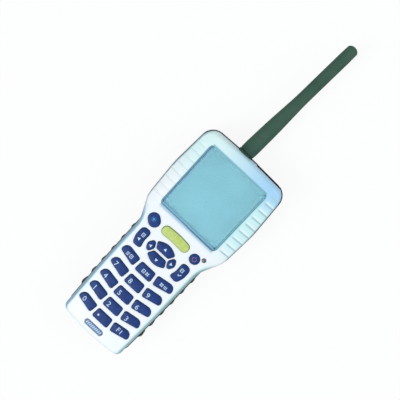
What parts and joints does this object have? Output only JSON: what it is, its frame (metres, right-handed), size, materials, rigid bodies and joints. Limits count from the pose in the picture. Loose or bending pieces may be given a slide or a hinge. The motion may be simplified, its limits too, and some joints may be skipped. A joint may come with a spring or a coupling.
{
  "type": "portable barcode data terminal",
  "caption": "Handheld data terminal with a square display, shaped keypad, ribbed shoulders, side grips and a whip antenna at its top end.",
  "frame": {"origin": "on the flat back of the rear housing, at the middle of the body's length and width", "axes": "+Z out of the display, +Y along the body towards the antenna, +X to the right seen from the front"},
  "size_m": [0.0756, 0.2698, 0.0333],
  "materials": {
    "front_shell": "smooth moulded ABS, pale white",
    "rear_shell": "fine grained dark ABS",
    "seal_rubber": "matt",
    "window_pane": "clear hard-coated pane with a cyan tint",
    "lcd_face": "reflective grey-green display",
    "mat_rubber": "translucent silicone",
    "badge": "blank satin plate",
    "led_lens": "dark red lens",
    "circuit_board": "solder mask",
    "screw_steel": "zinc plated",
    "black_plastic": "matt",
    "scan_pane": "dark red filter",
    "connector_brass": "gold plated",
    "battery_wrap": "plastic case",
    "grip_rubber": "matt moulded rubber",
    "antenna_rubber": "matt moulded rubber sleeve",
    "key_navy": "satin moulded keycap",
    "key_yellow": "satin moulded keycap"
  },
  "bodies": {
    "housing": {"front_case": "front_shell", "rear_case": "rear_shell", "seam_gasket": "seal_rubber", "display_window": "window_pane", "display_gasket": "seal_rubber", "lcd_panel": "lcd_face", "keypad_mat": "mat_rubber", "badge_plate": "badge", "status_led": "led_lens", "main_board": "circuit_board", "case_screws": "screw_steel", "board_screws": "screw_steel", "buzzer": "black_plastic", "scan_window": "scan_pane", "scan_engine": "black_plastic", "antenna_connector": "connector_brass", "battery_pack": "battery_wrap", "battery_contacts": "connector_brass", "charge_contacts": "connector_brass", "left_grip": "grip_rubber", "right_grip": "grip_rubber"},
    "antenna": {"antenna_whip": "antenna_rubber"},
    "door": {"battery_door": "rear_shell"},
    "lock_screw": {"door_screw": "screw_steel"},
    "key_light": {"key_light": "key_navy"},
    "key_scan": {"key_scan": "key_yellow"},
    "key_power": {"key_power": "key_navy"},
    "key_up": {"key_up": "key_navy"},
    "key_down": {"key_down": "key_navy"},
    "key_left": {"key_left": "key_navy"},
    "key_right": {"key_right": "key_navy"},
    "key_exit": {"key_exit": "key_navy"},
    "key_confirm": {"key_confirm": "key_navy"},
    "key_function_left": {"key_function_left": "key_navy"},
    "key_function": {"key_function": "key_navy"},
    "key_function_right": {"key_function_right": "key_navy"},
    "key_7": {"key_7": "key_navy"},
    "key_8": {"key_8": "key_navy"},
    "key_9": {"key_9": "key_navy"},
    "key_4": {"key_4": "key_navy"},
    "key_5": {"key_5": "key_navy"},
    "key_6": {"key_6": "key_navy"},
    "key_1": {"key_1": "key_navy"},
    "key_2": {"key_2": "key_navy"},
    "key_3": {"key_3": "key_navy"},
    "key_0": {"key_0": "key_navy"},
    "key_point": {"key_point": "key_navy"},
    "key_f1": {"key_f1": "key_navy"}
  },
  "joints": [
    {"name": "door_hinge", "type": "hinge", "parent": "housing", "child": "door", "pos_m": [0, -0.0074, 0.0022], "axis": [1, 0, 0], "range_deg": [0, 90]},
    {"name": "lock_turn", "type": "hinge", "parent": "door", "child": "lock_screw", "pos_m": [0, -0.0683, 0], "axis": [0, 0, -1], "range_deg": [0, 360]},
    {"name": "antenna_turn", "type": "hinge", "parent": "housing", "child": "antenna", "pos_m": [-0.00475, 0.08385, 0.016], "axis": [0.0555, 0.9985, 0], "range_deg": [0, 720]},
    {"name": "key_light_press", "type": "slide", "parent": "housing", "child": "key_light", "axis": [0, 0, -1], "range_m": [0, 0.0008], "stiffness_N_per_m": 1500},
    {"name": "key_scan_press", "type": "slide", "parent": "housing", "child": "key_scan", "axis": [0, 0, -1], "range_m": [0, 0.0008], "stiffness_N_per_m": 1500},
    {"name": "key_power_press", "type": "slide", "parent": "housing", "child": "key_power", "axis": [0, 0, -1], "range_m": [0, 0.0008], "stiffness_N_per_m": 1500},
    {"name": "key_up_press", "type": "slide", "parent": "housing", "child": "key_up", "axis": [0, 0, -1], "range_m": [0, 0.0008], "stiffness_N_per_m": 1500},
    {"name": "key_down_press", "type": "slide", "parent": "housing", "child": "key_down", "axis": [0, 0, -1], "range_m": [0, 0.0008], "stiffness_N_per_m": 1500},
    {"name": "key_left_press", "type": "slide", "parent": "housing", "child": "key_left", "axis": [0, 0, -1], "range_m": [0, 0.0008], "stiffness_N_per_m": 1500},
    {"name": "key_right_press", "type": "slide", "parent": "housing", "child": "key_right", "axis": [0, 0, -1], "range_m": [0, 0.0008], "stiffness_N_per_m": 1500},
    {"name": "key_exit_press", "type": "slide", "parent": "housing", "child": "key_exit", "axis": [0, 0, -1], "range_m": [0, 0.0008], "stiffness_N_per_m": 1500},
    {"name": "key_confirm_press", "type": "slide", "parent": "housing", "child": "key_confirm", "axis": [0, 0, -1], "range_m": [0, 0.0008], "stiffness_N_per_m": 1500},
    {"name": "key_function_left_press", "type": "slide", "parent": "housing", "child": "key_function_left", "axis": [0, 0, -1], "range_m": [0, 0.0008], "stiffness_N_per_m": 1500},
    {"name": "key_function_press", "type": "slide", "parent": "housing", "child": "key_function", "axis": [0, 0, -1], "range_m": [0, 0.0008], "stiffness_N_per_m": 1500},
    {"name": "key_function_right_press", "type": "slide", "parent": "housing", "child": "key_function_right", "axis": [0, 0, -1], "range_m": [0, 0.0008], "stiffness_N_per_m": 1500},
    {"name": "key_7_press", "type": "slide", "parent": "housing", "child": "key_7", "axis": [0, 0, -1], "range_m": [0, 0.0008], "stiffness_N_per_m": 1500},
    {"name": "key_8_press", "type": "slide", "parent": "housing", "child": "key_8", "axis": [0, 0, -1], "range_m": [0, 0.0008], "stiffness_N_per_m": 1500},
    {"name": "key_9_press", "type": "slide", "parent": "housing", "child": "key_9", "axis": [0, 0, -1], "range_m": [0, 0.0008], "stiffness_N_per_m": 1500},
    {"name": "key_4_press", "type": "slide", "parent": "housing", "child": "key_4", "axis": [0, 0, -1], "range_m": [0, 0.0008], "stiffness_N_per_m": 1500},
    {"name": "key_5_press", "type": "slide", "parent": "housing", "child": "key_5", "axis": [0, 0, -1], "range_m": [0, 0.0008], "stiffness_N_per_m": 1500},
    {"name": "key_6_press", "type": "slide", "parent": "housing", "child": "key_6", "axis": [0, 0, -1], "range_m": [0, 0.0008], "stiffness_N_per_m": 1500},
    {"name": "key_1_press", "type": "slide", "parent": "housing", "child": "key_1", "axis": [0, 0, -1], "range_m": [0, 0.0008], "stiffness_N_per_m": 1500},
    {"name": "key_2_press", "type": "slide", "parent": "housing", "child": "key_2", "axis": [0, 0, -1], "range_m": [0, 0.0008], "stiffness_N_per_m": 1500},
    {"name": "key_3_press", "type": "slide", "parent": "housing", "child": "key_3", "axis": [0, 0, -1], "range_m": [0, 0.0008], "stiffness_N_per_m": 1500},
    {"name": "key_0_press", "type": "slide", "parent": "housing", "child": "key_0", "axis": [0, 0, -1], "range_m": [0, 0.0008], "stiffness_N_per_m": 1500},
    {"name": "key_point_press", "type": "slide", "parent": "housing", "child": "key_point", "axis": [0, 0, -1], "range_m": [0, 0.0008], "stiffness_N_per_m": 1500},
    {"name": "key_f1_press", "type": "slide", "parent": "housing", "child": "key_f1", "axis": [0, 0, -1], "range_m": [0, 0.0008], "stiffness_N_per_m": 1500}
  ]
}
